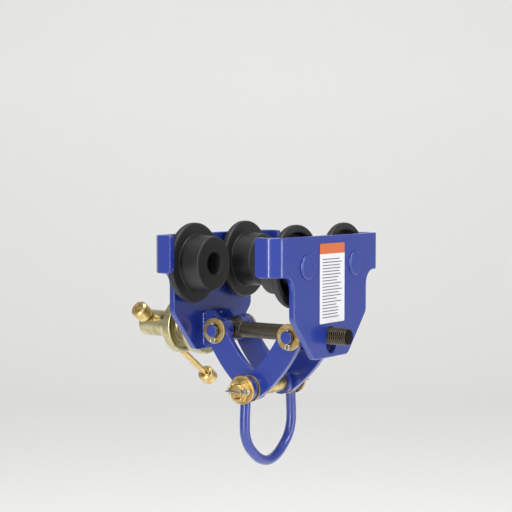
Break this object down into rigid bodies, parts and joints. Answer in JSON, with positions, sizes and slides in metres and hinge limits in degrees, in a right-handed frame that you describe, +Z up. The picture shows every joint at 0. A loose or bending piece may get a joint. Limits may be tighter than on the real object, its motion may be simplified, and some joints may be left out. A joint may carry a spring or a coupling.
{
  "type": "beam trolley",
  "caption": "Push-type beam trolley: bent side plates with flanged wheels, a left/right-hand spindle, curved links and a hanging shackle.",
  "frame": {"origin": "midway between the side plates and between the wheel pairs, at the height where the wheel treads roll on the beam's lower flange", "axes": "+X along the spindle towards its plain end, +Y along the beam, +Z up"},
  "size_m": [0.2302, 0.1857, 0.2233],
  "materials": {
    "blue_paint": "gloss enamel over hot-rolled steel",
    "zinc_gold": "yellow chromate zinc plate",
    "zinc_pale": "pale chromate zinc plate over turned steel",
    "black_oxide": "oiled black oxide",
    "wheel_black": "black paint, satin",
    "bright_steel": "bright drawn wire and ground rings",
    "label_vinyl": "satin vinyl film with a plain orange band"
  },
  "bodies": {
    "near_plate": {"side_plate_near": "blue_paint", "label": "label_vinyl", "trunnion_near": "black_oxide", "lug_near_front": "blue_paint", "lug_near_rear": "blue_paint", "axle_near_front": "blue_paint", "axle_near_rear": "blue_paint", "axle_clip_near_front": "bright_steel", "axle_clip_near_rear": "bright_steel", "pivot_cotter_near_front": "bright_steel", "pivot_cotter_near_rear": "bright_steel", "pivot_washer_near_front": "zinc_gold", "pivot_washer_near_rear": "zinc_gold", "pivot_spacer_near_front": "zinc_gold", "pivot_spacer_near_rear": "zinc_gold"},
    "near_arms": {"arm_near_front": "blue_paint", "arm_near_rear": "blue_paint"},
    "load_pin_set": {"load_pin": "zinc_gold", "spacer_tube": "zinc_gold", "eye_washer_front": "zinc_gold", "eye_washer_rear": "zinc_gold", "nut_washer_front": "zinc_gold", "nut_washer_rear": "zinc_gold", "castle_nut_front": "zinc_gold", "castle_nut_rear": "zinc_gold", "nut_cotter_front": "bright_steel", "nut_cotter_rear": "bright_steel"},
    "far_arms": {"arm_far_front": "blue_paint", "arm_far_rear": "blue_paint"},
    "far_plate": {"side_plate_far": "blue_paint", "trunnion_far": "black_oxide", "lug_far_front": "blue_paint", "lug_far_rear": "blue_paint", "axle_far_front": "blue_paint", "axle_far_rear": "blue_paint", "axle_clip_far_front": "bright_steel", "axle_clip_far_rear": "bright_steel", "pivot_cotter_far_front": "bright_steel", "pivot_cotter_far_rear": "bright_steel", "pivot_washer_far_front": "zinc_gold", "pivot_washer_far_rear": "zinc_gold", "pivot_spacer_far_front": "zinc_gold", "pivot_spacer_far_rear": "zinc_gold"},
    "shackle": {"shackle": "blue_paint"},
    "hub_washer": {"hub_washer": "zinc_gold"},
    "spindle": {"spindle": "black_oxide", "hub": "zinc_pale", "hub_pin": "black_oxide"},
    "lock_wheel": {"lock_wheel": "zinc_pale"},
    "tommy_bar": {"tommy_bar": "zinc_gold", "tommy_knob_long": "zinc_gold", "tommy_knob_short": "zinc_gold"},
    "wheel_near_front": {"wheel_near_front": "wheel_black", "wheel_bearing_near_front": "bright_steel"},
    "wheel_near_rear": {"wheel_near_rear": "wheel_black", "wheel_bearing_near_rear": "bright_steel"},
    "wheel_far_front": {"wheel_far_front": "wheel_black", "wheel_bearing_far_front": "bright_steel"},
    "wheel_far_rear": {"wheel_far_rear": "wheel_black", "wheel_bearing_far_rear": "bright_steel"}
  },
  "joints": [
    {"name": "near_arm_pivot", "type": "hinge", "parent": "near_plate", "child": "near_arms", "pos_m": [0.043, 0, -0.037], "axis": [0, 1, 0], "range_deg": [-18.7, 14]},
    {"name": "load_pin_pivot", "type": "hinge", "parent": "near_arms", "child": "load_pin_set", "pos_m": [0, 0, -0.086], "axis": [0, 1, 0], "range_deg": [-14.4, 19.2]},
    {"name": "far_arm_pivot", "type": "hinge", "parent": "near_arms", "child": "far_arms", "pos_m": [0, 0, -0.086], "axis": [0, 1, 0], "range_deg": [-28.8, 38.4]},
    {"name": "far_plate_pivot", "type": "hinge", "parent": "far_arms", "child": "far_plate", "pos_m": [-0.043, 0, -0.037], "axis": [0, 1, 0], "range_deg": [-19.2, 14.4]},
    {"name": "spindle_travel", "type": "slide", "parent": "near_plate", "child": "hub_washer", "axis": [-1, 0, 0], "range_m": [-0.0164, 0.0123]},
    {"name": "spindle_turn", "type": "hinge", "parent": "hub_washer", "child": "spindle", "pos_m": [-0.05, 0, -0.037], "axis": [1, 0, 0], "range_deg": [-2950, 2210]},
    {"name": "shackle_swing", "type": "hinge", "parent": "load_pin_set", "child": "shackle", "pos_m": [0, 0, -0.086], "axis": [0, 1, 0], "range_deg": [-45, 45]},
    {"name": "lock_wheel_turn", "type": "hinge", "parent": "far_plate", "child": "lock_wheel", "pos_m": [-0.075, 0, -0.037], "axis": [1, 0, 0], "continuous": true},
    {"name": "tommy_bar_slide", "type": "slide", "parent": "spindle", "child": "tommy_bar", "axis": [0, -0.8192, 0.5736], "range_m": [0, 0.087]},
    {"name": "wheel_near_front_roll", "type": "hinge", "parent": "near_plate", "child": "wheel_near_front", "pos_m": [0.045, -0.04, 0.026], "axis": [1, 0, 0], "continuous": true},
    {"name": "wheel_near_rear_roll", "type": "hinge", "parent": "near_plate", "child": "wheel_near_rear", "pos_m": [0.045, 0.04, 0.026], "axis": [1, 0, 0], "continuous": true},
    {"name": "wheel_far_front_roll", "type": "hinge", "parent": "far_plate", "child": "wheel_far_front", "pos_m": [-0.045, -0.04, 0.026], "axis": [1, 0, 0], "continuous": true},
    {"name": "wheel_far_rear_roll", "type": "hinge", "parent": "far_plate", "child": "wheel_far_rear", "pos_m": [-0.045, 0.04, 0.026], "axis": [1, 0, 0], "continuous": true}
  ],
  "couplings": [
    {"joint": "spindle_travel", "follows": "near_arm_pivot", "m_per_rad": 0.049},
    {"joint": "spindle_turn", "follows": "near_arm_pivot", "ratio": 153.94},
    {"joint": "load_pin_pivot", "follows": "near_arm_pivot", "ratio": -1},
    {"joint": "far_arm_pivot", "follows": "near_arm_pivot", "ratio": -2},
    {"joint": "far_plate_pivot", "follows": "near_arm_pivot", "ratio": 1}
  ]
}
